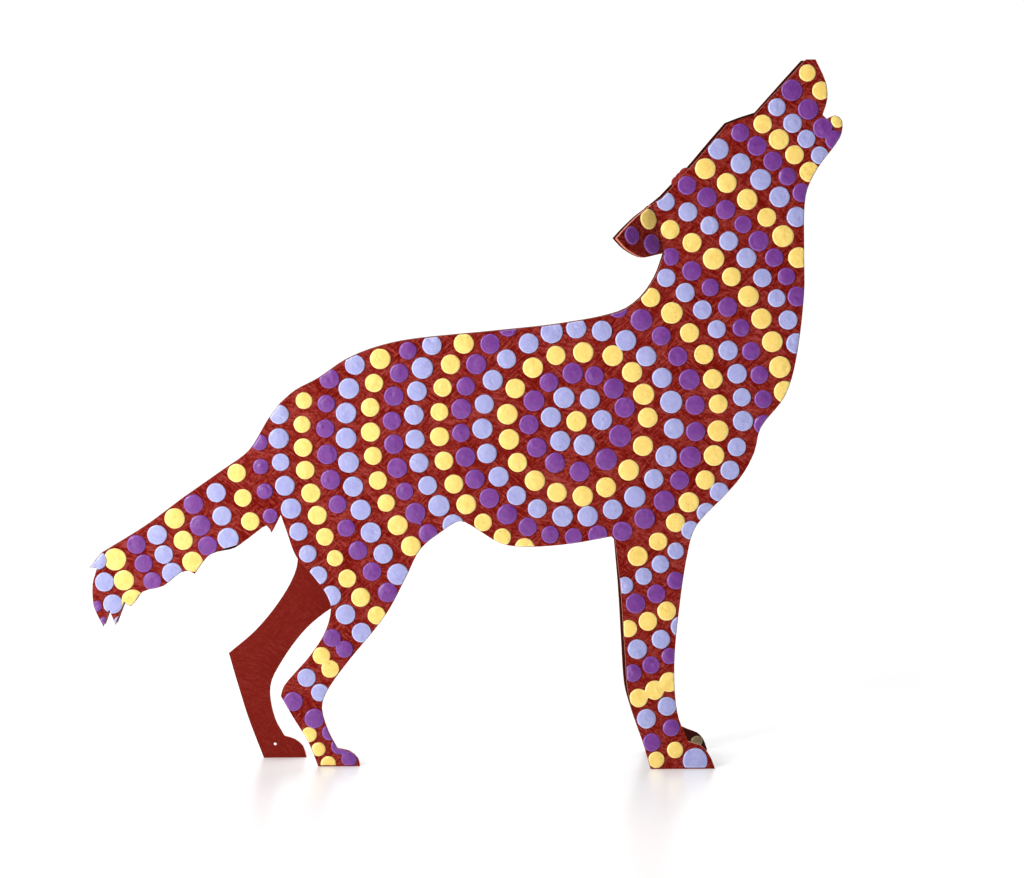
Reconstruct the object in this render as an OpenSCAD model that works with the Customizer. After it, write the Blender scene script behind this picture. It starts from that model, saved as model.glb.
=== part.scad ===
// Howling coyote figure: two painted sheet-metal silhouettes held a small gap
// apart, legs and ears folded outwards so it stands on four feet, both outer
// faces covered with rings of thick paint dots.
//
// Frame: X runs from tail to muzzle, Y across the two sheets (the near sheet is
// at -Y), Z is up. The origin is on the floor under the middle of the figure.

/* [Sheets] */
// Thickness of each metal sheet
sheet_t = 1.2; // [0.8:0.1:2]
// Clear gap between the two sheets at the body
sheet_gap = 5; // [4:0.5:8]
// Outward fold of both front legs, in degrees
front_fold = 9.6; // [4:0.2:14]
// Outward fold of both hind legs, in degrees
hind_fold = 3.4; // [1:0.2:8]
// Outward fold of the ear on the near sheet, in degrees
near_ear_fold = 35; // [10:1:60]
// Outward fold of the ear on the far sheet, in degrees
far_ear_fold = 42; // [10:1:60]

/* [Paint dots] */
// Distance from one ring of dots to the next
ring_pitch = 9; // [8.5:0.1:9.5]
// Mean diameter of a dot, at the sheet
dot_d = 8.4; // [6:0.1:9]
// Height of a dot
dot_h = 1; // [0.5:0.1:1.5]
// How far the flat top of a dot stops short of its rim
dot_slope = 0.8; // [0.4:0.1:1.2]
// How far a dot's diameter strays from its row's mean, either way
dot_stray = 0.6; // [0:0.1:1]
// How far a dot strays from its place in the row, either way
dot_wobble = 0.2; // [0:0.1:0.8]

/* [Joining pieces] */
// Diameter of the hidden spacer rods between the sheets
rod_d = 6; // [4:0.5:10]
// Radius of the weld bead at the brow
bead_r = 2.7; // [2.6:0.1:3.5]

/* [Display] */
// Which sub-part to draw

/* [Hidden] */
$fn = 120;
near = 0;
far = 1;
yellow = 0;
lilac = 1;
purple = 2;
ground_rgb = [0.52, 0.14, 0.13];
rod_rgb = [0.45, 0.45, 0.47];
dot_rgb = [[1, 0.88, 0.5], [0.72, 0.73, 0.92], [0.5, 0.24, 0.63]];

inner = sheet_gap / 2;       // height of a sheet's inner face over the mid-plane
outer = inner + sheet_t;     // height of its painted outer face
curve_step = 5;              // longest straight piece of a smoothed outline
reach = 400;                 // longer than the figure, for cutting blocks
lap = 3;                     // how far a bent strip runs past its fold into the body
ear_bulge = 0.05;            // how far the ear's sharper bend stands proud of the sheet
toe_lift = 0.3;              // paint stops this far above the floor
thinnest_dot = 4;            // no dot is narrower than this

// --- Fold lines: [x, y, direction, angle] ---
// The folded piece lies to the right of a walker who follows the direction.
front_fold_y = 90;
hind_fold_y = 95.5;
ear_root = [78.6, 203.5];
ear_top = [74, 222.5];
ear_line = ear_root - ear_top;
ear_dir = atan2(ear_line[1], ear_line[0]);
ear_out = [sin(ear_dir), -cos(ear_dir)];
body = 0;
front_leg = 1;
hind_leg = 2;
ear = 3;

function fold_of(zone, side) =
  zone == front_leg ? [front_fold_x[0], front_fold_y, 0, front_fold]
  : zone == hind_leg ? [hind_fold_x[0], hind_fold_y, 0, hind_fold]
  : [ear_top[0], ear_top[1], ear_dir, side == near ? near_ear_fold : far_ear_fold];

// The part of the outline that each fold carries. The leg zones start `above` the
// fold line: 0 for the zone itself, `lap` for the strip that joins it to the body.
below_feet = -10;
front_fold_x = [55, 105];
hind_fold_x = [-73.4, -4];
tail_gap = [-98, 72];
function front_zone(above) = [
  [front_fold_x[0], front_fold_y + above], [front_fold_x[1], front_fold_y + above],
  [front_fold_x[1], below_feet], [front_fold_x[0], below_feet],
];
function hind_zone(above) = [
  [hind_fold_x[0], hind_fold_y + above], [hind_fold_x[0], 84], tail_gap,
  [tail_gap[0], below_feet], [hind_fold_x[1], below_feet],
  [hind_fold_x[1], hind_fold_y + above],
];
ear_zone = [ear_root, ear_top, ear_top + 40 * ear_out, ear_root + 40 * ear_out];

function zone_shape(zone, above = 0) =
  zone == front_leg ? front_zone(above) : zone == hind_leg ? hind_zone(above) : ear_zone;

// An ear point drawn as it looks from the side when folded, moved out to where it
// lies on the flat pattern
drawn_ear_fold = 35;
function ear_flat(p) =
  p + (1 / cos(drawn_ear_fold) - 1) * ((p - ear_root) * ear_out) * ear_out;

// --- Outline, clockwise, as runs of points between corners ---
// Body and legs are drawn as they look from the side, the ear as it looks unfolded.
muzzle = [[138, 279.5], [142.2, 270.5], [142.8, 264], [141, 257.8]];
lip_to_chest = [
  [143, 256], [146, 257.7], [148.8, 255.5], [148, 249], [139, 236.5], [134.6, 226],
  [134.2, 205], [134.3, 187], [131.3, 161], [127, 146.7], [117.4, 134], [115, 124.4],
  [109.9, 114.8], [103.6, 107.4], [92, 95], [88.4, 84], [84.8, 62.4], [82.6, 40.7],
  [83.5, 22], [87.6, 10.6],
];
near_front_toe = [[87.6, 10.6], [93.5, 8.4], [96.6, 4.3], [98.2, 0]];
far_front_toe = [[87.6, 10.6], [91.2, 8.9], [95, 7.4], [97.5, 4.8], [99.4, 0]];
near_shin = [
  [72.7, 0], [70.5, 7.7], [64.3, 28.2], [63, 45.6], [61.5, 70.3], [59.5, 89.3],
];
far_shin = [
  [74.5, 0], [71.8, 6], [66.8, 20.5], [64.7, 28.5], [63.4, 43], [61.6, 68], [59.5, 89.3],
];
belly = [
  [58, 90.8], [42, 88], [25, 86.8], [14, 88.2], [1.8, 95.6], [-2.5, 97.2], [-8.7, 93.7],
];
near_thigh = [
  [-18, 86.2], [-23.8, 75], [-32, 60], [-48.2, 40], [-55.5, 29.5], [-57.3, 23],
  [-54.7, 13.8], [-51.2, 7.2],
];
near_hind_toe = [[-51.2, 7.2], [-46.4, 6.1], [-43, 3], [-42.3, 0]];
near_heel = [[-58.9, 0], [-62.5, 9.2], [-69, 20], [-73.6, 28]];
near_hock = [
  [-73.6, 28], [-72.4, 32], [-62, 44], [-55.6, 54.3], [-54, 65], [-61.7, 76.8],
  [-67.4, 83.5], [-71.1, 93.5], [-73.4, 100],
];
far_thigh = [
  [-18, 86.2], [-27, 77], [-40, 68.5], [-54, 61.3], [-65.7, 51.3], [-77, 34.5],
  [-78.8, 27], [-76.9, 16.2], [-73.2, 9],
];
far_hind_toe = [[-73.2, 9], [-69, 7.6], [-65.7, 4.6], [-64.4, 0]];
far_heel = [[-81.6, 0], [-87.5, 16.3], [-91.8, 31], [-95.1, 43.2]];
far_hock = [
  [-95.1, 43.2], [-84.5, 52.3], [-75.3, 63.4], [-68.6, 75.1], [-67.2, 83.5],
  [-71.1, 93.5], [-73.4, 100],
];
fur_point = [[-73.4, 100], [-75, 96.7], [-77, 92.8]];
tail_root_under = [[-77, 92.8], [-79, 95.7], [-82.4, 93.6], [-86, 90.8]];
near_tufts = [[-86, 90.8], [-90, 88.2], [-97.5, 86], [-102.5, 83.3], [-107.5, 76.6]];
far_tufts = [[-86, 90.8], [-92, 86.2], [-99, 84.6], [-102.2, 83.4]];
far_tuft_tip = [[-102.2, 83.4], [-104.8, 81.2], [-107.5, 76.6]];
tail_under = [
  [-109.8, 77.8], [-113, 77.2], [-120, 71.8], [-128.2, 69.5], [-132.8, 63.8],
  [-135.4, 65.5],
];
tail_claws = [[-139, 56.2], [-141.4, 62.2], [-143.8, 55.6]];
tail_end = [[-145.9, 59.8], [-147.6, 64], [-147.9, 72.6], [-146.1, 79]];
hair_tip = [[-149, 79.3]];
tail_top = [
  [-145, 84.5], [-127.2, 95.5], [-112.2, 106.6], [-95.9, 118], [-85.9, 125.5],
  [-78, 138.2], [-73.5, 144.2],
];
back = [
  [-73.5, 144.2], [-67.8, 149.1], [-58.6, 154], [-47.8, 161.3], [-36, 166.2],
  [-21.9, 169.4], [10.8, 172.7], [38.8, 175.8], [61, 180.4], [69.2, 185.7],
  [75.2, 194.2], [78.6, 203.5],
];
ear_under_seen = [[72.9, 202.2], [69.2, 201.8], [63, 205], [58.8, 209.2]];
ear_over_seen = [[58.8, 209.2], [62, 212.7], [67.5, 217.9], [71.6, 221]];
near_brow = [[77.7, 225.3], [88, 236.3], [97.7, 247.5], [103.3, 254.1]];
near_stop = [[103.3, 254.1], [108.6, 256.1], [113.9, 257.5]];
near_nose = [[113.9, 257.5], [124.4, 268.9], [134.2, 279.5]];
far_brow = [[77.2, 225.9], [87.6, 236.9], [97.2, 248.2], [103, 254.9]];
far_stop = [[103, 254.9], [108.5, 257], [114.8, 259]];
far_nose = [[114.8, 259], [124.7, 270.1], [133.2, 279.5]];

// --- Smoothing: a curve through the points, straight out of its two ends ---
function lean(a, b, c) = (c - a) / (norm(c - b) + norm(b - a));

function bow(a, b, lean_a, lean_b, t) =
  let (len = norm(b - a))
  (2 * t ^ 3 - 3 * t ^ 2 + 1) * a
  + (t ^ 3 - 2 * t ^ 2 + t) * len * lean_a
  + (3 * t ^ 2 - 2 * t ^ 3) * b
  + (t ^ 3 - t ^ 2) * len * lean_b;

function smooth(run) =
  let (last = len(run) - 1)
  [
    for (i = [0:last - 1])
      let (a = run[i])
      let (b = run[i + 1])
      let (straight = (b - a) / norm(b - a))
      let (lean_a = i == 0 ? straight : lean(run[i - 1], a, b))
      let (lean_b = i == last - 1 ? straight : lean(a, b, run[i + 2]))
      let (steps = ceil(norm(b - a) / curve_step) + (last > 1 ? 1 : 0))
      for (s = [0:steps - 1])
        bow(a, b, lean_a, lean_b, s / steps),
    run[last],
  ];

function without_repeats(points) =
  [
    for (i = [0:len(points) - 1])
      if (norm(points[i] - points[(i + 1) % len(points)]) > 0.01)
        points[i],
  ];

function ear_points(seen) = [for (p = seen) ear_flat(p)];

function outline(side) =
  without_repeats(concat(
    smooth(muzzle),
    smooth(lip_to_chest),
    smooth(side == near ? near_front_toe : far_front_toe),
    smooth(side == near ? near_shin : far_shin),
    smooth(concat(belly, side == near ? near_thigh : far_thigh)),
    smooth(side == near ? near_hind_toe : far_hind_toe),
    smooth(side == near ? near_heel : far_heel),
    smooth(side == near ? near_hock : far_hock),
    fur_point,
    smooth(tail_root_under),
    smooth(side == near ? near_tufts : far_tufts),
    side == near ? [] : smooth(far_tuft_tip),
    smooth(tail_under),
    tail_claws,
    smooth(tail_end),
    hair_tip,
    smooth(tail_top),
    smooth(back),
    smooth(ear_points(ear_under_seen)),
    smooth(ear_points(ear_over_seen)),
    smooth(side == near ? near_brow : far_brow),
    smooth(side == near ? near_stop : far_stop),
    smooth(side == near ? near_nose : far_nose)
  ));

outlines = [outline(near), outline(far)];

// --- Small pieces: where they sit, [x, height] ---
rod_places = [[100, 150], [-45, 120], [115, 235]];
bead_from = [84.3, 231.2];
bead_to = [87.4, 234.5];
foot_hole = [-77, 5.6];
foot_hole_d = 1.2;
foot_dot_place = [94.9, 2.7];
foot_dot_r = 2.6;

// --- Rings of dots, laid out before the legs and ears are folded ---
// Ring 0 is the single dot in the middle of the ribs. Colours run yellow, lilac,
// purple from the middle out. Each row is a stretch of one ring, evenly spaced:
// [ring, first angle, last angle, count, mm outside the ring at the first dot and at
// the last, mm wider than the mean dot].
ring_centre = [43.8, 136.7];
rib_rows = [
  [0, 0, 0, 1, -1.5, -1.5, 0.5],
  [1, 3, 116, 3, 0, 0, 0.5], [1, 170, 290, 3, -0.5, -0.5, 0.5],
  [2, 16, 94, 4, 0.5, 0, 0], [2, 124, 243, 5, -0.5, -1, 0], [2, 274, 342, 3, 0.5, -1, 0.5],
  [3, 3, 61, 4, 0, 1.5, 0], [3, 84, 174, 5, -1, -1, 0],
  [3, 195, 275, 5, -1, 1.5, 0], [3, 295, 340, 3, 0.5, 0, 0],
  [4, -4, 121, 9, 1.5, -1, 0.5], [4, 138, 339, 14, -0.5, 1, 0],
  [5, 126, 281, 14, -0.5, -0.5, -0.5], [5, 293, 430, 12, 1, 1.5, 0],
];
rump_rows = [
  [6, 145, 248, 11, -1, -1, -0.5], [7, 152, 220, 9, 0, -0.5, 0],
  [8, 157, 217, 9, -1, 0, -0.5], [9, 162, 217, 9, -1, -0.5, -0.5],
  [10, 165.5, 220.5, 10, -1, 1.5, 0], [11, 170, 222, 10, -1.5, 0.5, -0.5],
  [12, 175.5, 224, 11, -1.5, 1, -1], [13, 178.5, 224.5, 11, -1, 1, -0.5],
];
tail_rows = [
  [14, 183.5, 197, 4, -2, -0.5, -1.5], [15, 188.5, 197, 3, -0.5, -1.5, -0.5],
  [16, 191, 198.5, 3, -0.5, 0, 0], [17, 192, 198.5, 3, 0.5, -0.5, 0],
  [18, 193.5, 200, 3, 0, -1.5, 0], [19, 195, 200.5, 3, -0.5, -1.5, -0.5],
  [20, 195.5, 200.5, 3, -0.5, -2, -0.5], [21, 196.5, 202, 3, 0, -1, 0.5],
  [22, 196, 204, 4, -2, -2, -0.5], [23, 201, 203, 2, -5, -5, -4],
];
chest_rows = [
  [6, -65.5, -35.5, 4, 3.5, 0, 0], [6, -24.5, 59, 9, 1, 2, 0],
  [7, -43.5, -9, 5, -1.5, 0.5, -0.5],
  [7, 0, 58, 8, 2, 2.5, -0.5], [8, -1, 75.5, 11, 1.5, 2, -0.5],
  [9, 8, 71, 10, 1.5, 2, 0], [10, 19.5, 68, 9, 1.5, 2.5, -0.5],
  [11, 29.5, 65, 8, 0.5, 2.5, -0.5], [12, 36.5, 63, 6, 0, 2.5, 0],
  [13, 43, 62.5, 5, 0.5, 3, 0], [14, 45.5, 60.5, 5, -0.5, 3.5, -0.5],
  [15, 47, 58, 4, -1.5, 2, -0.5], [16, 47.5, 57.5, 4, -3, 1.5, -0.5],
  [17, 47.5, 50, 2, -3.5, -3, -0.5], [17, 53.5, 57, 2, -1, 1.5, 0],
  [18, 53.5, 56.5, 2, -1, 1.5, -1], [18, 49, 49, 1, -6, -6, -3],
];
front_leg_rows = [
  [7, -73.5, -52.5, 4, 3.5, 1, -1], [8, -72, -58, 3, 3, 1.5, -0.5],
  [9, -76, -64.5, 3, 2.5, 1.5, -1], [10, -75, -63, 3, 2.5, 0.5, 0],
  [11, -77.5, -68.5, 3, 2, 0, -1.5], [12, -77.5, -70.5, 3, 3, 0.5, -0.5],
  [13, -77, -72.5, 2, 3, 0.5, -0.5], [14, -77, -73, 2, 3.5, 0, -1],
  [15, -77, -73.5, 2, 1.5, -0.5, -1.5], [16, -71, -71, 1, -3, -3, 1.5],
];
near_hind_rows = [
  [14, 221.5, 224.5, 2, 2, 1.5, -1], [15, 222.5, 225, 2, 1, 2, -1],
  [16, 223.5, 226.5, 2, 2, 2.5, -0.5], [17, 224.5, 228.5, 2, 3.5, 2.5, -0.5],
  [17, 231.5, 236, 3, 3, 7, -1.5], [18, 229.5, 234, 3, 0, 4.5, -2],
];
far_hind_rows = [
  [14, 207, 214, 3, 0, 0, 0], [15, 210, 215, 2, 0, 0, 0], [16, 212, 216, 2, 0, 0, 0],
  [17, 214, 218, 2, 0, 0, 0], [18, 217.5, 221, 2, 0, 0, 0], [19, 221, 224, 2, 0, 0, 0],
  [20, 225, 229, 2, -3, -3, 0],
];

function rows(side) =
  concat(
    rib_rows, rump_rows, tail_rows, chest_rows, front_leg_rows,
    side == near ? near_hind_rows : far_hind_rows
  );

function ring_r(ring) = ring_pitch * ring + 1.5;

function polar(r, angle) = [r * cos(angle), r * sin(angle)];

// Every dot of one side as [centre, radius, colour]
function dot_list(side) =
  [
    for (row = rows(side))
      let (ring = row[0])
      let (stray = rands(-1, 1, 3 * row[3], 100 * ring + row[3] + side))
      for (i = [0:row[3] - 1])
        let (along = i / max(1, row[3] - 1))
        let (angle = row[1] + (row[2] - row[1]) * along)
        let (out = row[4] + (row[5] - row[4]) * along)
        let (own = ring_centre + polar(ring_r(ring) + out, angle))
        let (wobble = dot_wobble * [stray[3 * i], stray[3 * i + 1]])
        let (wide = max(thinnest_dot, dot_d + row[6] + dot_stray * stray[3 * i + 2]))
        [own + wobble, wide / 2, ring % 3],
  ];

// --- Where a dot lies: its zone, and whether an edge or a fold cuts it ---
function crossings(shape, p) =
  [
    for (i = [0:len(shape) - 1])
      let (a = shape[i])
      let (b = shape[(i + 1) % len(shape)])
      if ((a[1] > p[1]) != (b[1] > p[1]))
        if (p[0] < a[0] + (p[1] - a[1]) / (b[1] - a[1]) * (b[0] - a[0]))
          1,
  ];

function is_inside(shape, p) = len(crossings(shape, p)) % 2 == 1;

function edge_distance(a, b, p) =
  let (t = max(0, min(1, (p - a) * (b - a) / ((b - a) * (b - a)))))
  norm(p - a - t * (b - a));

function shape_distance(shape, p) =
  min([
    for (i = [0:len(shape) - 1])
      edge_distance(shape[i], shape[(i + 1) % len(shape)], p),
  ]);

function zone_at(p) =
  is_inside(ear_zone, p) ? ear
  : is_inside(front_zone(0), p) ? front_leg
  : is_inside(hind_zone(0), p) ? hind_leg
  : body;

// Where a point is seen from the side once its leg is folded; an ear point stays
// where it lies unfolded
function seen(p) =
  let (zone = zone_at(p))
  let (line = fold_of(zone, near))
  zone == body || zone == ear ? p : [p[0], line[1] - (line[1] - p[1]) * cos(line[3])];

// The fold whose line passes under a dot, or body for none
function fold_under(dot) =
  let (r = dot[1] + 0.1)
  edge_distance(ear_root, ear_top, dot[0]) < r ? ear
  : edge_distance(front_zone(0)[0], front_zone(0)[1], dot[0]) < r ? front_leg
  : edge_distance(hind_zone(0)[0], hind_zone(0)[5], dot[0]) < r ? hind_leg
  : body;

// A dot is left out when no more than a sliver of it would be on the sheet
sliver = 0.8;
function is_on_sheet(dot, side) =
  is_inside(outlines[side], seen(dot[0]))
  || shape_distance(outlines[side], seen(dot[0])) < dot[1] - sliver;

function is_whole(dot, side) =
  shape_distance(outlines[side], seen(dot[0])) > dot[1] + 0.1
  && dot[0][1] > dot[1] + 2;

// --- Sheets and folding ---
// Everything is drawn flat, with height over the mid-plane along Z, and stood up last.
module stand_up(side) {
  mirror([0, side == far ? 1 : 0, 0])
    rotate([90, 0, 0])
      children();
}

module folded(zone, side) {
  if (zone == body) {
    children();
  } else {
    line = fold_of(zone, side);
    translate([line[0], line[1], outer])
      rotate([0, 0, line[2]])
        rotate([-line[3], 0, 0])
          rotate([0, 0, -line[2]])
            translate([-line[0], -line[1], -outer])
              children();
  }
}

// A strip of sheet bent along a fold line: `into_body` long on one side of the bend
// and `into_fold` long on the other, from `start` to `end` along the line, and
// standing `proud` of the sheet on both faces
module bent_strip(zone, side, into_body, into_fold, start, end, proud = 0) {
  line = fold_of(zone, side);
  angle = line[3];
  high = proud;
  low = -sheet_t - proud;
  translate([line[0], line[1], outer])
    rotate([0, 0, line[2]])
      translate([start, 0, 0])
        rotate([90, 0, 90])
          linear_extrude(height = end - start)
            polygon([
              [into_body, high],
              [high * tan(angle / 2), high],
              [high * sin(angle) - into_fold * cos(angle), into_fold * sin(angle) + high * cos(angle)],
              [low * sin(angle) - into_fold * cos(angle), into_fold * sin(angle) + low * cos(angle)],
              [low * tan(angle / 2), low],
              [into_body, low],
            ]);
}

module body_slab(side) {
  translate([0, 0, inner])
    linear_extrude(height = sheet_t)
      difference() {
        polygon(outlines[side]);
        for (zone = [front_leg, hind_leg, ear]) {
          polygon(zone_shape(zone));
        }
      }
}

module leg(zone, side) {
  intersection() {
    bent_strip(zone, side, 2 * lap, reach, -reach, reach);
    linear_extrude(height = reach)
      intersection() {
        polygon(outlines[side]);
        polygon(zone_shape(zone, lap));
      }
  }
}

module ear_flap(side) {
  folded(ear, side)
    translate([0, 0, inner])
      linear_extrude(height = sheet_t)
        intersection() {
          polygon(outlines[side]);
          polygon(ear_zone);
        }
  bent_strip(ear, side, sheet_t, sheet_t, -ear_bulge, norm(ear_line) + ear_bulge, ear_bulge);
}

module dab(dot) {
  translate([dot[0][0], dot[0][1], outer])
    cylinder(h = dot_h, r1 = dot[1], r2 = dot[1] - dot_slope);
}

// The piece of sheet around one dot, drawn right through the dot and clear of the floor
module patch(dot, side) {
  place = seen(dot[0]);
  low = max(place[1] - 2 * dot[1], toe_lift);
  linear_extrude(height = reach)
    intersection() {
      polygon(outlines[side]);
      translate([place[0] - 2 * dot[1], low])
        square(4 * dot[1]);
    }
}

module trimmed_dab(dot, side) {
  zone = zone_at(dot[0]);
  if (zone == ear) {
    folded(ear, side)
      intersection() {
        dab(dot);
        patch(dot, side);
      }
  } else {
    intersection() {
      folded(zone, side)
        dab(dot);
      patch(dot, side);
    }
  }
}

// Each dot is a low round dab with a sloping rim. A dab over an edge is trimmed to
// the sheet, and one over a fold also gives way to the bent sheet.
module flat_dots(side, colour) {
  for (dot = dot_list(side)) {
    if (dot[2] == colour && is_on_sheet(dot, side)) {
      bend = fold_under(dot);
      if (bend != body) {
        difference() {
          trimmed_dab(dot, side);
          bent_strip(bend, side, 2 * dot_d, 2 * dot_d, -reach, reach);
        }
      } else if (is_whole(dot, side)) {
        folded(zone_at(dot[0]), side)
          dab(dot);
      } else {
        trimmed_dab(dot, side);
      }
    }
  }
}

// --- Sub-parts ---
module sheet(side) {
  body_slab(side);
  leg(front_leg, side);
  leg(hind_leg, side);
  ear_flap(side);
}

module panel(side) {
  color(ground_rgb)
    stand_up(side)
      if (side == near) {
        sheet(near);
      } else {
        difference() {
          sheet(far);
          translate([foot_hole[0], foot_hole[1], 0])
            cylinder(d = foot_hole_d, h = 2 * reach, center = true);
        }
      }
}

module dots(side, colour) {
  color(dot_rgb[colour])
    stand_up(side)
      flat_dots(side, colour);
}

module spacer_rods() {
  color(rod_rgb)
    for (place = rod_places) {
      translate([place[0], -inner, place[1]])
        rotate([-90, 0, 0])
          cylinder(d = rod_d, h = sheet_gap);
    }
}

module brow_bead() {
  color(ground_rgb)
    difference() {
      for (s = [0, 0.5, 1]) {
        place = bead_from + s * (bead_to - bead_from);
        translate([place[0], 0, place[1]])
          sphere(r = bead_r);
      }
      for (side = [near, far]) {
        stand_up(side)
          body_slab(side);
      }
    }
}

module foot_dot() {
  color(dot_rgb[yellow])
    stand_up(far)
      folded(front_leg, far)
        mirror([0, 0, 1])
          translate([0, 0, -outer - inner])
            dab([foot_dot_place, foot_dot_r, yellow]);
}

panel(near);  // near_panel
panel(far);  // far_panel
spacer_rods();
brow_bead();
dots(near, yellow);  // near_yellow_dots
dots(near, lilac);  // near_lilac_dots
dots(near, purple);  // near_purple_dots
dots(far, yellow);  // far_yellow_dots
dots(far, lilac);  // far_lilac_dots
dots(far, purple);  // far_purple_dots
foot_dot();
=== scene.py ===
"""A howling coyote figure: two painted sheet-metal silhouettes with raised paint dots.

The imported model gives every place. Each sheet is rebuilt here with rounded cut edges,
and each paint dot is rebuilt over its own footprint as an uneven dab of thick paint.
Everything is in metres, in the model's own frame.
"""

import math
import random

import bmesh
import bpy
import numpy as np
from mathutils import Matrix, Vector, noise
from mathutils.bvhtree import BVHTree
from mathutils.geometry import delaunay_2d_cdt


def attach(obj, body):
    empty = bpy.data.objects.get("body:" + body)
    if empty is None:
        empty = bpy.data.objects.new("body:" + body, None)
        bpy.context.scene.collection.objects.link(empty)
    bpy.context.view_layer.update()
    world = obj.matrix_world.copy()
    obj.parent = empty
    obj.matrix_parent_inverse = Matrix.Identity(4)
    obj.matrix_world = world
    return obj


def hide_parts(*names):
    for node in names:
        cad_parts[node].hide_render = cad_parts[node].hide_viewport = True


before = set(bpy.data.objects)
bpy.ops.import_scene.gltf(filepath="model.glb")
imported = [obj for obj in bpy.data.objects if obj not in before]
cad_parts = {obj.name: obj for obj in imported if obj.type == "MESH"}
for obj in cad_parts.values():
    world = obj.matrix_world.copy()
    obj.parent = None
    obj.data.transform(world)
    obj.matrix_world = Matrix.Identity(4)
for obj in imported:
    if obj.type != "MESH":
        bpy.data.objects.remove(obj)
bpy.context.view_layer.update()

MM = 0.001
BODY = "root"

# --- Camera, lights and floor ---
CAMERA_PLACE = Vector((-15.0, -959.6, 203.05)) * MM
CAMERA_AIM = Vector((18.5, 0.0, 129.6)) * MM
LENS = 85.0
SENSOR = 36.0

# Each light: name, place, what it points at, size and power in watts.
LIGHTS = (
    ("key", (-0.62, -0.66, 0.44), (0.0, 0.0, 0.12), (0.5, 0.5), 11.3),
    ("fill", (1.3, -1.4, 0.5), (0.0, 0.0, 0.14), (1.2, 1.2), 0.5),
    ("top", (0.0, 1.0, 1.6), (0.0, 0.5, 0.0), (4.0, 2.2), 48.0),
)
SKY_TINT = (0.96, 0.98, 1.0)
SKY_LIT = 0.09
SKY_SHOWN = 1.05

STUDIO_SIDE = 2.0
STUDIO_FRONT = -1.5
STUDIO_BACK = 1.6
SCREEN_HIGH = 1.2
FLOOR_GLOW = 0.14
SCREEN_GLOW = 1.08

scene = bpy.context.scene
scene.view_settings.view_transform = "Standard"
scene.view_settings.look = "None"


def aim(obj, place, target):
    obj.location = place
    obj.rotation_euler = (target - place).to_track_quat("-Z", "Y").to_euler()


def add_camera():
    data = bpy.data.cameras.new("camera")
    data.lens = LENS
    data.sensor_width = SENSOR
    data.clip_start = 0.01
    data.clip_end = 50.0
    obj = bpy.data.objects.new("camera", data)
    scene.collection.objects.link(obj)
    aim(obj, CAMERA_PLACE, CAMERA_AIM)
    scene.camera = obj


def add_area_light(name, place, target, size, watts):
    data = bpy.data.lights.new(name, "AREA")
    data.shape = "RECTANGLE"
    data.size, data.size_y = size
    data.energy = watts
    obj = bpy.data.objects.new(name, data)
    scene.collection.objects.link(obj)
    aim(obj, Vector(place), Vector(target))


def add_world():
    """White where the camera sees it, and a dimmer white as a source of light."""
    world = bpy.data.worlds.new("studio")
    scene.world = world
    world.use_nodes = True
    nodes, links = world.node_tree.nodes, world.node_tree.links
    nodes.clear()
    out = nodes.new("ShaderNodeOutputWorld")
    mix = nodes.new("ShaderNodeMixShader")
    path = nodes.new("ShaderNodeLightPath")
    lit = nodes.new("ShaderNodeBackground")
    shown = nodes.new("ShaderNodeBackground")
    lit.inputs["Color"].default_value = (*SKY_TINT, 1.0)
    lit.inputs["Strength"].default_value = SKY_LIT
    shown.inputs["Color"].default_value = (1.0, 1.0, 1.0, 1.0)
    shown.inputs["Strength"].default_value = SKY_SHOWN
    links.new(path.outputs["Is Camera Ray"], mix.inputs[0])
    links.new(lit.outputs[0], mix.inputs[1])
    links.new(shown.outputs[0], mix.inputs[2])
    links.new(mix.outputs[0], out.inputs[0])


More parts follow.
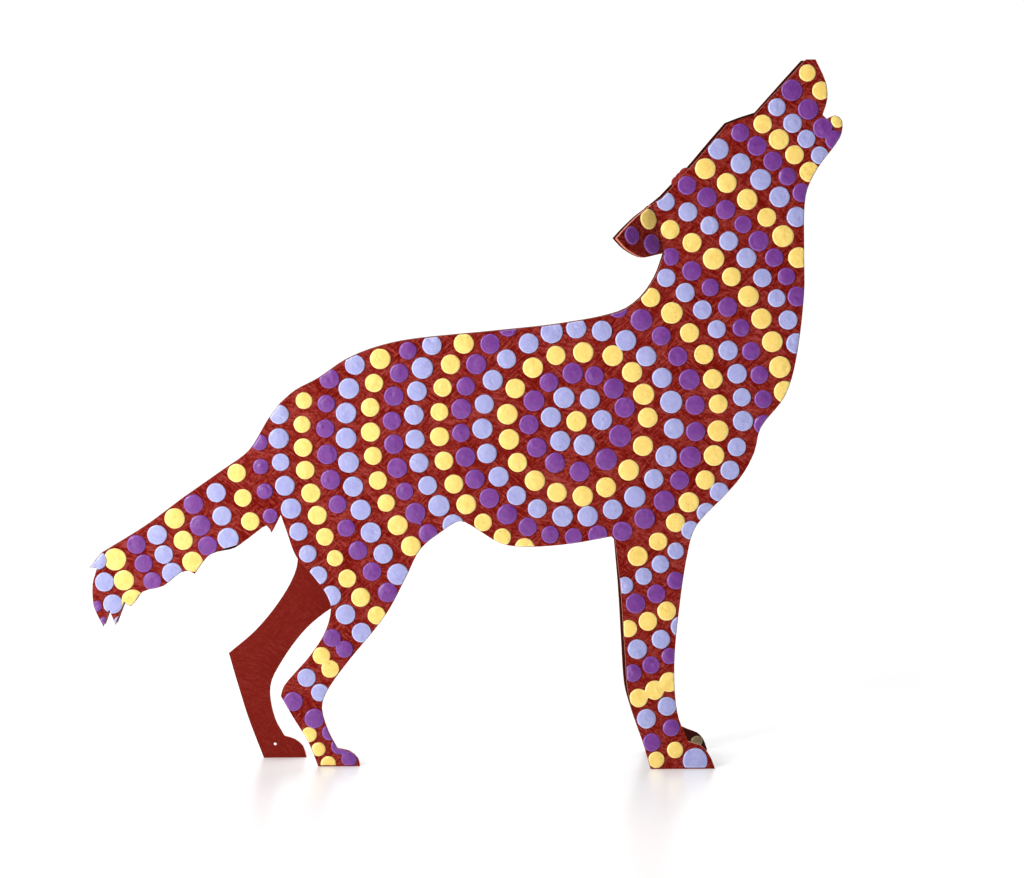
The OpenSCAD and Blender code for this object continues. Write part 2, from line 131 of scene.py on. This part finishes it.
# --- Node helpers ---
class Nodes:
    """A material's node tree, with short ways to add to it."""

    def __init__(self, name):
        self.material = bpy.data.materials.new(name)
        self.material.use_nodes = True
        self.tree = self.material.node_tree
        self.tree.nodes.clear()
        self.out = self.add("ShaderNodeOutputMaterial")
        self.shader = self.add("ShaderNodeBsdfPrincipled")
        self.link(self.shader.outputs[0], self.out.inputs["Surface"])

    def add(self, kind, **settings):
        node = self.tree.nodes.new(kind)
        for key, value in settings.items():
            setattr(node, key, value)
        return node

    def link(self, source, target):
        self.tree.links.new(source, target)

    def place(self, scale=(1.0, 1.0, 1.0), turn=0.0):
        """Object coordinates in millimetres, turned about Y and then scaled."""
        coord = self.add("ShaderNodeTexCoord")
        mapping = self.add("ShaderNodeMapping", vector_type="TEXTURE")
        mapping.inputs["Scale"].default_value = [MM / v for v in scale]
        mapping.inputs["Rotation"].default_value = (0.0, math.radians(turn), 0.0)
        self.link(coord.outputs["Object"], mapping.inputs["Vector"])
        return mapping.outputs["Vector"]

    def attribute(self, name, output="Fac"):
        node = self.add("ShaderNodeAttribute", attribute_name=name)
        return node.outputs[output]

    def noise(self, vector, scale, detail=4.0, rough=0.55, distortion=0.0):
        node = self.add("ShaderNodeTexNoise")
        node.inputs["Scale"].default_value = scale
        node.inputs["Detail"].default_value = detail
        node.inputs["Roughness"].default_value = rough
        node.inputs["Distortion"].default_value = distortion
        self.link(vector, node.inputs["Vector"])
        return node.outputs["Fac"]

    def ramp(self, value, stops):
        node = self.add("ShaderNodeValToRGB")
        elements = node.color_ramp.elements
        while len(elements) < len(stops):
            elements.new(0.5)
        for element, (place, colour) in zip(elements, stops):
            element.position = place
            element.color = (*colour, 1.0)
        self.link(value, node.inputs["Fac"])
        return node.outputs["Color"]

    def remap(self, value, low, high, to_low=0.0, to_high=1.0):
        node = self.add("ShaderNodeMapRange")
        node.inputs["From Min"].default_value = low
        node.inputs["From Max"].default_value = high
        node.inputs["To Min"].default_value = to_low
        node.inputs["To Max"].default_value = to_high
        self.link(value, node.inputs["Value"])
        return node.outputs["Result"]

    def math(self, operation, a, b):
        node = self.add("ShaderNodeMath", operation=operation)
        for socket, value in ((node.inputs[0], a), (node.inputs[1], b)):
            if isinstance(value, (int, float)):
                socket.default_value = value
            else:
                self.link(value, socket)
        return node.outputs[0]

    def blend(self, amount, a, b, mode="MIX"):
        node = self.add("ShaderNodeMix", data_type="RGBA", blend_type=mode)
        for socket, value in ((node.inputs[0], amount), (node.inputs[6], a), (node.inputs[7], b)):
            if isinstance(value, (int, float)):
                socket.default_value = value
            elif isinstance(value, tuple):
                socket.default_value = (*value, 1.0)
            else:
                self.link(value, socket)
        return node.outputs[2]

    def bump(self, height, strength, distance, below=None):
        node = self.add("ShaderNodeBump")
        node.inputs["Strength"].default_value = strength
        node.inputs["Distance"].default_value = distance * MM
        self.link(height, node.inputs["Height"])
        if below is not None:
            self.link(below, node.inputs["Normal"])
        return node.outputs["Normal"]


def linear(r, g, b):
    """An sRGB colour, 0 to 255, as the linear numbers that the shader takes."""

    def one(v):
        v /= 255.0
        return v / 12.92 if v <= 0.04045 else ((v + 0.055) / 1.055) ** 2.4

    return (one(r), one(g), one(b))


# --- Materials ---
GROUND = (121, 27, 18)
GROUND_DARK = (99, 4, 0)
# The pale end of the ground's streaks, partly a painted glint.
GROUND_PALE_GLINT = (147, 58, 52)
SCRATCH = (178, 92, 84)
# Painted highlight: the pale peach of the cut edges where light catches them.
CUT_EDGE_HIGHLIGHT = (214, 128, 104)
# Painted shade between the sheets: the dark colour of faces that look at the other sheet, and its
# weaker share on the hind legs' inner faces.
GAP_SHADE = (46, 15, 11)
HIND_LEG_SHADE = 0.2

# Each dab's paint: its body, a paler colour for drag lines and the painted highlight band, a
# darker shade of it, a dark colour for flecks and the painted shade at its edge, and how rough it
# is.
DAB_PAINTS = {
    "yellow": ((243, 211, 115), (252, 234, 164), (234, 196, 96), (70, 30, 14), 0.42),
    "lilac": ((162, 164, 208), (200, 206, 240), (148, 149, 204), (60, 30, 60), 0.42),
    "purple": ((118, 51, 140), (148, 92, 174), (98, 40, 126), (44, 10, 40), 0.38),
    # The far front foot's dot: yellow dulled by wear, darkened further as painted shade behind
    # the near foot.
    "wear_and_painted_light": ((150, 128, 84), (190, 172, 128), (104, 82, 52), (60, 30, 20), 0.5),
}


def streaks(n, turn, along, across):
    """Noise drawn out along one direction in the plane of the sheets."""
    return n.noise(n.place((along, 1.0, across), turn), 1.0, 3.0, 0.6, 0.4)


def ground_paint(name):
    """Red-brown paint brushed on thinly: crossing streaks, blotches and pale scratches, the
    palest streaks partly painted glints.

    The mesh carries "cut", 1 on the cut edges, which get a painted highlight, and a painted-shade
    attribute, 1 on faces that look at the other sheet and less on the hind legs.
    """
    n = Nodes(name)
    blotch = n.noise(n.place((0.06, 0.06, 0.06)), 1.0, 3.0)
    patch = n.noise(n.place((0.11, 0.11, 0.11)), 1.0, 2.0)
    one = streaks(n, 38.0, 0.2, 1.4)
    two = streaks(n, -46.0, 0.22, 1.5)
    three = streaks(n, 8.0, 0.25, 1.2)
    mixed = n.blend(n.remap(patch, 0.44, 0.56), one, two)
    mixed = n.blend(n.remap(blotch, 0.5, 0.62), mixed, three)
    fine = n.noise(n.place((1.0, 1.0, 1.0)), 1.2, 4.0, 0.8)
    tone = n.math("ADD", n.math("MULTIPLY", mixed, 0.55), n.math("MULTIPLY", fine, 0.45))
    tone = n.math("ADD", tone, n.math("MULTIPLY", n.math("SUBTRACT", blotch, 0.5), 0.12))
    base = n.ramp(
        tone,
        [
            (0.43, linear(*GROUND_DARK)),
            (0.50, linear(*GROUND)),
            (0.58, linear(*GROUND_PALE_GLINT)),
        ],
    )
    hair = n.math("MAXIMUM", streaks(n, 52.0, 0.07, 2.4), streaks(n, -34.0, 0.07, 2.4))
    hair = n.math("MULTIPLY", n.remap(hair, 0.66, 0.74), n.remap(patch, 0.4, 0.6, 0.15, 0.75))
    base = n.blend(hair, base, linear(*SCRATCH))
    hidden = n.attribute("hidden")
    base = n.blend(n.remap(hidden, 0.0, HIND_LEG_SHADE, 0.0, 0.75), base, linear(*GROUND))
    edge = n.attribute("cut")
    # Painted highlight: the cut edges lightened towards pale peach, varied by the fine noise.
    wear_and_painted_light = n.math("MULTIPLY", edge, n.remap(fine, 0.35, 0.6, 0.55, 1.0))
    colour = n.blend(wear_and_painted_light, base, linear(*CUT_EDGE_HIGHLIGHT))
    # Painted shade: faces that look at the other sheet darkened towards the dark gap colour.
    gap_shade_mix = n.math("MULTIPLY", hidden, n.remap(fine, 0.3, 0.7, 1.0, 0.8))
    colour = n.blend(gap_shade_mix, colour, linear(*GAP_SHADE))
    n.link(colour, n.shader.inputs["Base Color"])
    n.link(n.remap(mixed, 0.3, 0.7, 0.5, 0.36), n.shader.inputs["Roughness"])
    n.shader.inputs["Specular IOR Level"].default_value = 0.04
    low = n.bump(blotch, 0.35, 0.5)
    mid = n.bump(mixed, 0.6, 0.2, low)
    n.link(n.bump(fine, 0.4, 0.08, mid), n.shader.inputs["Normal"])
    return n.material


def dab_paint(name, colour, rim, shade, fleck_and_edge_shade, rough):
    """Thick paint of one dot: a fine pressed rim with a painted highlight band, drag lines,
    flecks and painted shade at its edge.

    The mesh carries, at each vertex, "edge_mm", the distance in from the dab's rim, "tone",
    one random number for the dab, and "local", its place in the dab's own plane.
    """
    n = Nodes(name)
    depth = n.attribute("edge_mm")
    tone = n.attribute("tone")
    local = n.attribute("local", "Vector")
    cloud = n.noise(local, 0.36, 3.0, 0.55, 0.8)
    stretch = n.add("ShaderNodeMapping")
    stretch.inputs["Scale"].default_value = (0.4, 2.0, 1.0)
    n.link(local, stretch.inputs["Vector"])
    drag = n.noise(stretch.outputs["Vector"], 0.8, 3.0, 0.6, 0.5)
    grain = n.noise(local, 3.0, 3.0, 0.7)
    body = n.blend(n.remap(cloud, 0.3, 0.65), linear(*shade), linear(*colour))
    body = n.blend(n.remap(drag, 0.55, 0.8, 0.0, 0.45), body, linear(*rim))
    body = n.blend(n.remap(tone, 0.0, 1.0, 0.0, 0.3), body, linear(*shade))
    # Painted highlight: a paler band just inside the dab's rim, where the pressed ridge catches
    # light.
    ring_highlight = n.math(
        "MULTIPLY", n.remap(depth, 0.1, 0.26), n.remap(depth, 0.36, 0.6, 1.0, 0.0)
    )
    ring_highlight = n.math("MULTIPLY", ring_highlight, n.remap(cloud, 0.35, 0.65, 0.3, 0.85))
    body = n.blend(ring_highlight, body, linear(*rim))
    fleck = n.add("ShaderNodeTexVoronoi")
    fleck.inputs["Scale"].default_value = 0.3
    n.link(local, fleck.inputs["Vector"])
    dots = n.math("MULTIPLY", n.remap(fleck.outputs["Distance"], 0.04, 0.07, 1.0, 0.0), 0.7)
    body = n.blend(dots, body, linear(*fleck_and_edge_shade))
    speck = n.add("ShaderNodeTexVoronoi")
    speck.inputs["Scale"].default_value = 1.1
    n.link(local, speck.inputs["Vector"])
    specks = n.math(
        "MULTIPLY",
        n.remap(speck.outputs["Distance"], 0.1, 0.2, 0.85, 0.0),
        n.math("MULTIPLY", n.remap(tone, 0.88, 0.9), n.remap(cloud, 0.42, 0.52)),
    )
    body = n.blend(specks, body, linear(*fleck_and_edge_shade))
    # Painted shade: the dab's steep edge darkened where it meets the sheet.
    edge_shade = n.remap(depth, 0.02, 0.12, 0.7, 0.0)
    body = n.blend(edge_shade, body, linear(*fleck_and_edge_shade))
    n.link(body, n.shader.inputs["Base Color"])
    n.link(n.remap(grain, 0.3, 0.7, rough - 0.06, rough + 0.08), n.shader.inputs["Roughness"])
    n.shader.inputs["Specular IOR Level"].default_value = 0.6
    low = n.bump(cloud, 0.5, 0.35)
    mid = n.bump(drag, 0.4, 0.14, low)
    n.link(n.bump(grain, 0.25, 0.04, mid), n.shader.inputs["Normal"])
    return n.material


def bare_steel(name):
    """Drawn steel rod with fine lines along it."""
    n = Nodes(name)
    lines = n.noise(n.place((2.5, 0.12, 2.5)), 2.0, 4.0, 0.6)
    n.link(
        n.ramp(lines, [(0.3, (0.22, 0.21, 0.21)), (0.7, (0.48, 0.47, 0.46))]),
        n.shader.inputs["Base Color"],
    )
    n.shader.inputs["Metallic"].default_value = 0.9
    n.link(n.remap(lines, 0.3, 0.7, 0.5, 0.3), n.shader.inputs["Roughness"])
    n.link(n.bump(lines, 0.3, 0.05), n.shader.inputs["Normal"])
    return n.material


def backdrop_paint(name):
    """A translucent white screen lit from behind, hardly uneven."""
    n = Nodes(name)
    cloud = n.noise(n.place((0.002, 0.002, 0.002)), 1.0, 2.0)
    glow = n.ramp(cloud, [(0.3, (0.99, 0.99, 0.99)), (0.7, (1.0, 1.0, 1.0))])
    n.link(glow, n.shader.inputs["Emission Color"])
    n.shader.inputs["Emission Strength"].default_value = SCREEN_GLOW
    n.shader.inputs["Base Color"].default_value = (0.0, 0.0, 0.0, 1.0)
    n.shader.inputs["Specular IOR Level"].default_value = 0.0
    return n.material


def floor_paint(name):
    """Pale seamless sheet, a little shiny and lit from beneath."""
    n = Nodes(name)
    grain = n.noise(n.place((0.02, 0.02, 0.02)), 1.0, 3.0)
    tone = n.ramp(grain, [(0.3, (0.86, 0.86, 0.86)), (0.7, (0.9, 0.9, 0.9))])
    n.link(tone, n.shader.inputs["Base Color"])
    n.link(tone, n.shader.inputs["Emission Color"])
    n.shader.inputs["Emission Strength"].default_value = FLOOR_GLOW
    n.shader.inputs["Roughness"].default_value = 0.28
    n.shader.inputs["Specular IOR Level"].default_value = 0.5
    return n.material


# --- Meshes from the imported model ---
WELD = 1e-6
FACING = 0.3


def welded(node):
    """A welded copy of a CAD node's mesh, as a bmesh."""
    bm = bmesh.new()
    bm.from_mesh(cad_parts[node].data)
    bmesh.ops.remove_doubles(bm, verts=bm.verts, dist=WELD)
    bm.normal_update()
    return bm


def islands(bm):
    """The faces of each separate solid, in a steady order."""
    seen = set()
    found = []
    for start in bm.faces:
        if start in seen:
            continue
        seen.add(start)
        island, queue = [], [start]
        while queue:
            face = queue.pop()
            island.append(face)
            for edge in face.edges:
                for other in edge.link_faces:
                    if other not in seen:
                        seen.add(other)
                        queue.append(other)
        found.append(island)
    return found


def back_normal(island, back):
    """The normal of the largest flat face towards `back` along Y, which lies on the sheet."""
    areas = {}
    for face in island:
        if face.normal.y * back < FACING:
            continue
        key = tuple(round(v, 2) for v in face.normal)
        areas.setdefault(key, [0.0, Vector()])
        areas[key][0] += face.calc_area()
        areas[key][1] += face.normal * face.calc_area()
    return max(areas.values(), key=lambda a: a[0])[1].normalized()


def footprint(island, back):
    """Where one dot of paint lies: its centre, its plane's axes and its rim in millimetres."""
    out = -back_normal(island, back)
    across = Vector((1.0, 0.0, 0.0))
    across = (across - out * across.dot(out)).normalized()
    up = out.cross(across)
    under = [f for f in island if f.normal.dot(out) < -FACING]
    inside = set(under)
    area = sum(f.calc_area() for f in under)
    centre = sum((f.calc_center_median() * f.calc_area() for f in under), Vector()) / area
    follow = {}
    for face in under:
        for edge in face.edges:
            if sum(f in inside for f in edge.link_faces) == 1:
                a, b = edge.verts
                follow.setdefault(a, []).append(b)
                follow.setdefault(b, []).append(a)
    loops, used = [], set()
    for start in follow:
        if start in used:
            continue
        loop, here, before = [], start, None
        while here is not None and here not in used:
            used.add(here)
            loop.append(here)
            nexts = [v for v in follow[here] if v is not before and v not in used]
            before, here = here, (nexts[0] if nexts else None)
        loops.append(loop)
    rim = max(loops, key=len)
    flat = np.array([((v.co - centre).dot(across), (v.co - centre).dot(up)) for v in rim]) / MM
    x, y = flat[:, 0], flat[:, 1]
    if np.sum(x * np.roll(y, -1) - y * np.roll(x, -1)) < 0:
        flat = flat[::-1]
    return centre, across, up, out, flat


def resampled(loop, step):
    """A closed loop walked in equal steps of about `step`."""
    closed = np.vstack([loop, loop[:1]])
    lengths = np.hypot(*np.diff(closed, axis=0).T)
    along = np.concatenate([[0.0], np.cumsum(lengths)])
    count = max(10, int(round(along[-1] / step)))
    wanted = np.arange(count) * along[-1] / count
    return np.stack([np.interp(wanted, along, closed[:, k]) for k in (0, 1)], axis=1)


def inward(loop):
    """The unit direction into the shape at each point of an anticlockwise loop."""
    along = np.roll(loop, -1, axis=0) - np.roll(loop, 1, axis=0)
    along /= np.maximum(np.hypot(*along.T), 1e-9)[:, None]
    return np.stack([-along[:, 1], along[:, 0]], axis=1)


def rim_distance(points, loop):
    """How far each point is from the loop."""
    a, b = loop, np.roll(loop, -1, axis=0)
    edge = b - a
    t = ((points[:, None] - a) * edge).sum(2) / np.maximum((edge**2).sum(1), 1e-12)
    near = a + np.clip(t, 0.0, 1.0)[..., None] * edge
    return np.sqrt(((points[:, None] - near) ** 2).sum(2)).min(1)


def is_within(points, loop):
    """Which points lie inside the loop, by counting the edges to their right."""
    a, b = loop, np.roll(loop, -1, axis=0)
    x, y = points[:, 0][:, None], points[:, 1][:, None]
    rises = (a[:, 1] > y) != (b[:, 1] > y)
    slope = (b[:, 0] - a[:, 0]) / np.where(b[:, 1] == a[:, 1], 1e-12, b[:, 1] - a[:, 1])
    return (rises & (x < a[:, 0] + (y - a[:, 1]) * slope)).sum(1) % 2 == 1


# --- Dabs of paint, in millimetres ---
RIM_STEP = 0.5
RIM_RINGS = (0.05, 0.14, 0.3, 0.55, 0.9)
GRID_STEP = 0.62
GRID_CLEAR = 1.15
PAINT_HIGH = 0.42
ROUNDING = (0.35, 0.8)
SUNK = 0.04
RIM_UNEVEN = 0.22
RIDGE_AT = 0.5
RIDGE_WIDE = 0.22
RIPPLE_PITCH = 4.2
FADE_IN = 0.4
SWELL = 0.12
SWELL_SCALE = 0.35
UNEVEN_SCALE = 0.45
NEAREST_POINTS = 0.8
FLAT_COSINE = 0.9995
FOLD_AREA = 2.0
FOLD_SEARCH = 4.0

# How much thicker each colour is than the mean, so that no two lie level where dots touch.
LIFTS = {"yellow": -0.08, "lilac": 0.1, "purple": 0.0}


def shape_of_dab(rng, lift):
    """One dab's own unevenness: its tilt, dome, ripples, pimples and dimples."""
    marks = []
    for _ in range(rng.choice((0, 1, 2, 2, 3))):
        angle, r = rng.uniform(0, 2 * math.pi), rng.uniform(0.3, 2.8)
        place = (r * math.cos(angle), r * math.sin(angle))
        marks.append((place, rng.uniform(0.5, 0.8), rng.choice((-0.22, -0.15, 0.13, 0.2))))
    return {
        "high": (PAINT_HIGH + lift) * rng.uniform(0.92, 1.08),
        "tilt": (rng.uniform(-0.02, 0.02), rng.uniform(-0.02, 0.02)),
        "dome": rng.uniform(0.2, 0.55),
        "round": rng.uniform(*ROUNDING),
        "ridge": rng.uniform(0.02, 0.09),
        "ripple": rng.uniform(0.0, 0.05),
        "seed": rng.uniform(-500, 500),
        "turn": rng.uniform(0, 2 * math.pi),
        "marks": marks,
    }


def dab_height(shape, point, depth, reach):
    """Height of the paint over the sheet, in millimetres."""
    if depth <= 0.0:
        return -SUNK
    s = 1.0 - min(depth / shape["round"], 1.0)
    high = shape["high"] * math.sqrt(max(0.0, 1.0 - s * s))
    high += shape["ridge"] * math.exp(-(((depth - RIDGE_AT) / RIDGE_WIDE) ** 2))
    high += shape["dome"] * (1.0 - (1.0 - min(1.0, depth / max(reach, 1.0))) ** 2)
    inner = min(1.0, depth / FADE_IN)
    x, y = point
    high += inner * (shape["tilt"][0] * x + shape["tilt"][1] * y)
    seed = shape["seed"]
    swell = noise.noise(Vector((x * SWELL_SCALE, y * SWELL_SCALE, seed)))
    high += inner * SWELL * swell
    r = math.hypot(x, y)
    high += inner * shape["ripple"] * math.sin(r * RIPPLE_PITCH + seed)
    for (mx, my), wide, tall in shape["marks"]:
        high += inner * tall * math.exp(-((x - mx) ** 2 + (y - my) ** 2) / wide**2)
    return high


def needs_fold(island, back):
    """True where two flat faces of the dot's back meet at a fold of the sheet."""
    out = -back_normal(island, back)
    tilted = sum(
        f.calc_area() for f in island if -FLAT_COSINE < f.normal.dot(out) < -FACING
    )
    return tilted > FOLD_AREA * MM * MM


def uneven_rim(rim, seed):
    """The footprint's rim in even steps, drawn in by a smooth random amount."""
    rim = resampled(rim, RIM_STEP)
    wobble = np.array(
        [
            0.5 + 0.5 * noise.noise(Vector((p[0] * UNEVEN_SCALE, p[1] * UNEVEN_SCALE, seed)))
            for p in rim
        ]
    )
    return rim + inward(rim) * (RIM_UNEVEN * wobble)[:, None]


def dab_points(rim):
    """Points to mesh a dab with: its rim, rings inside it and a triangular grid."""
    loops = [rim + inward(rim) * d for d in RIM_RINGS]
    low, high = rim.min(0), rim.max(0)
    grid = []
    row_step = GRID_STEP * math.sqrt(3) / 2
    for j in range(int((high[1] - low[1]) / row_step) + 2):
        for i in range(int((high[0] - low[0]) / GRID_STEP) + 2):
            grid.append((low[0] + (i + 0.5 * (j % 2)) * GRID_STEP, low[1] + j * row_step))
    grid = np.array(grid)
    kept = [rim]
    for depth, loop in zip(RIM_RINGS, loops):
        clear = rim_distance(loop, rim) > NEAREST_POINTS * depth
        kept.append(loop[is_within(loop, rim) & clear])
    kept.append(grid[is_within(grid, rim) & (rim_distance(grid, rim) > GRID_CLEAR)])
    return np.vstack(kept)


def dab(island, back, rng, sheet, lift):
    """Vertices, triangles and per-vertex facts of one dab."""
    across_fold = needs_fold(island, back)
    centre, across, up, out, rim = footprint(island, back)
    shape = shape_of_dab(rng, lift)
    rim = uneven_rim(rim, shape["seed"])
    points = dab_points(rim)
    count = len(rim)
    edges = [(i, (i + 1) % count) for i in range(count)]
    flat, _, faces, _, _, _ = delaunay_2d_cdt(
        [Vector(p) for p in points], edges, [list(range(count))], 1, 1e-6
    )
    flat = np.array([tuple(p) for p in flat])
    depth = rim_distance(flat, rim)
    depth[depth < 1e-4] = 0.0
    reach = depth.max()
    cos, sin = math.cos(shape["turn"]), math.sin(shape["turn"])
    places, local = [], []
    for (x, y), d in zip(flat, depth):
        base = centre + across * (x * MM) + up * (y * MM)
        if across_fold:
            above = base + out * (FOLD_SEARCH * MM)
            hit = sheet.ray_cast(above, -out, 2 * FOLD_SEARCH * MM)[0]
            base = hit if hit is not None else base
        places.append(base + out * (dab_height(shape, (x, y), d, reach) * MM))
        local.append((x * cos - y * sin, x * sin + y * cos, shape["seed"]))
    return places, faces, depth, local, rng.random()


def paint_dabs(name, node, back, sheet, material, seed, lift=0.0):
    """All the dabs of one colour on one sheet, `lift` thicker than the mean."""
    rng = random.Random(seed)
    bm = welded(node)
    verts, faces, depths, locals_, tones = [], [], [], [], []
    for island in islands(bm):
        places, tris, depth, local, tone = dab(island, back, rng, sheet, lift)
        start = len(verts)
        verts.extend(places)
        faces.extend([tuple(start + i for i in tri) for tri in tris])
        depths.extend(depth)
        locals_.extend(local)
        tones.extend([tone] * len(places))
    bm.free()
    mesh = bpy.data.meshes.new(name)
    mesh.from_pydata([tuple(v) for v in verts], [], faces)
    mesh.attributes.new("edge_mm", "FLOAT", "POINT").data.foreach_set("value", depths)
    mesh.attributes.new("tone", "FLOAT", "POINT").data.foreach_set("value", tones)
    vectors = mesh.attributes.new("local", "FLOAT_VECTOR", "POINT")
    vectors.data.foreach_set("vector", np.array(locals_, dtype=np.float32).ravel())
    mesh.shade_smooth()
    return finished(name, mesh, material, node)


def finished(name, mesh, material, node):
    """Links a piece, gives it its material and lets it stand for its CAD node."""
    mesh.materials.append(material)
    obj = bpy.data.objects.new(name, mesh)
    scene.collection.objects.link(obj)
    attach(obj, BODY)
    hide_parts(node)
    return obj


# --- Sheets ---
EDGE_ROUND = 0.26
SAME_PLANE = math.radians(0.6)
SHARP_ANGLE = math.radians(55)
SHORTEST_CUT = 0.06
LOOKS_IN = 0.5
HIND_LEGS_END = -4 * MM
HIND_LEGS_TOP = 95 * MM
TAIL_START = -98 * MM
EDGE_FACES = 0.7
SOLE = 0.4


def gap_shade_amount(normal, centre, back):
    """How much painted shade a face gets: full where it looks at the other sheet, less on the
    hind legs.
    """
    if normal.y * back <= LOOKS_IN:
        return 0.0
    on_hind_leg = TAIL_START <= centre.x < HIND_LEGS_END and centre.z < HIND_LEGS_TOP
    return HIND_LEG_SHADE if on_hind_leg else 1.0


def cut_sheet(name, node, back, material):
    """One sheet with its cut edges rounded and marked for a painted highlight, and its faces
    marked for painted shade.
    """
    bm = welded(node)
    bmesh.ops.dissolve_limit(
        bm, angle_limit=SAME_PLANE, verts=bm.verts, edges=bm.edges
    )
    sharp = [
        e
        for e in bm.edges
        if len(e.link_faces) == 2
        and e.calc_face_angle(0.0) > SHARP_ANGLE
        and e.calc_length() > SHORTEST_CUT * MM
    ]
    cut = bm.faces.layers.float.new("cut")
    hidden = bm.faces.layers.float.new("hidden")
    rounded = bmesh.ops.bevel(
        bm,
        geom=sharp,
        offset=EDGE_ROUND * MM,
        segments=2,
        profile=0.5,
        affect="EDGES",
        clamp_overlap=True,
    )
    rims = set(rounded["faces"])
    bm.normal_update()
    for face in bm.faces:
        centre = face.calc_center_median()
        on_rim = face in rims or abs(face.normal.y) < EDGE_FACES
        face[cut] = float(on_rim and centre.z > SOLE * MM)
        # Painted shade goes on faces that look at the other sheet, not on the rounded cut edges.
        face[hidden] = 0.0 if on_rim else gap_shade_amount(face.normal, centre, back)
    bmesh.ops.triangulate(bm, faces=bm.faces)
    mesh = bpy.data.meshes.new(name)
    bm.to_mesh(mesh)
    bm.free()
    mesh.shade_flat()
    return finished(name, mesh, material, node)


def sheet_tree(node):
    """The CAD sheet, ready to find where a ray meets it."""
    bm = welded(node)
    tree = BVHTree.FromBMesh(bm)
    bm.free()
    return tree


def stage_sheet(name, corners, material):
    """A flat piece of the studio."""
    mesh = bpy.data.meshes.new(name)
    mesh.from_pydata(corners, [], [(0, 1, 2, 3)])
    mesh.materials.append(material)
    obj = bpy.data.objects.new(name, mesh)
    scene.collection.objects.link(obj)


# --- Build ---
add_camera()
add_world()
for light in LIGHTS:
    add_area_light(*light)

stage_sheet(
    "floor",
    [
        (-STUDIO_SIDE, STUDIO_FRONT, 0.0),
        (STUDIO_SIDE, STUDIO_FRONT, 0.0),
        (STUDIO_SIDE, STUDIO_BACK, 0.0),
        (-STUDIO_SIDE, STUDIO_BACK, 0.0),
    ],
    floor_paint("floor_paper"),
)
stage_sheet(
    "backdrop",
    [
        (-STUDIO_SIDE, STUDIO_BACK, 0.0),
        (STUDIO_SIDE, STUDIO_BACK, 0.0),
        (STUDIO_SIDE, STUDIO_BACK, SCREEN_HIGH),
        (-STUDIO_SIDE, STUDIO_BACK, SCREEN_HIGH),
    ],
    backdrop_paint("backdrop_screen"),
)

ground = ground_paint("red_brown_ground")
paints = {colour: dab_paint(colour + "_dab", *DAB_PAINTS[colour]) for colour in LIFTS}
trees = {}
for side, back, side_seed in (("near", 1.0, 10), ("far", -1.0, 20)):
    panel = side + "_panel"
    trees[side] = sheet_tree(panel)
    cut_sheet(side + "_sheet", panel, back, ground)
    for k, (colour, lift) in enumerate(LIFTS.items()):
        paint_dabs(
            f"{side}_{colour}_dabs",
            f"{side}_{colour}_dots",
            back,
            trees[side],
            paints[colour],
            side_seed + k,
            lift,
        )
# The far front foot's dot, dulled by wear and partly painted shade.
wear_and_painted_light = dab_paint("worn_shaded_dab", *DAB_PAINTS["wear_and_painted_light"])
paint_dabs("foot_dab", "foot_dot", 1.0, trees["far"], wear_and_painted_light, 31)
for node, material in (("brow_bead", ground), ("spacer_rods", bare_steel("rod_steel"))):
    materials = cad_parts[node].data.materials
    materials.clear()
    materials.append(material)
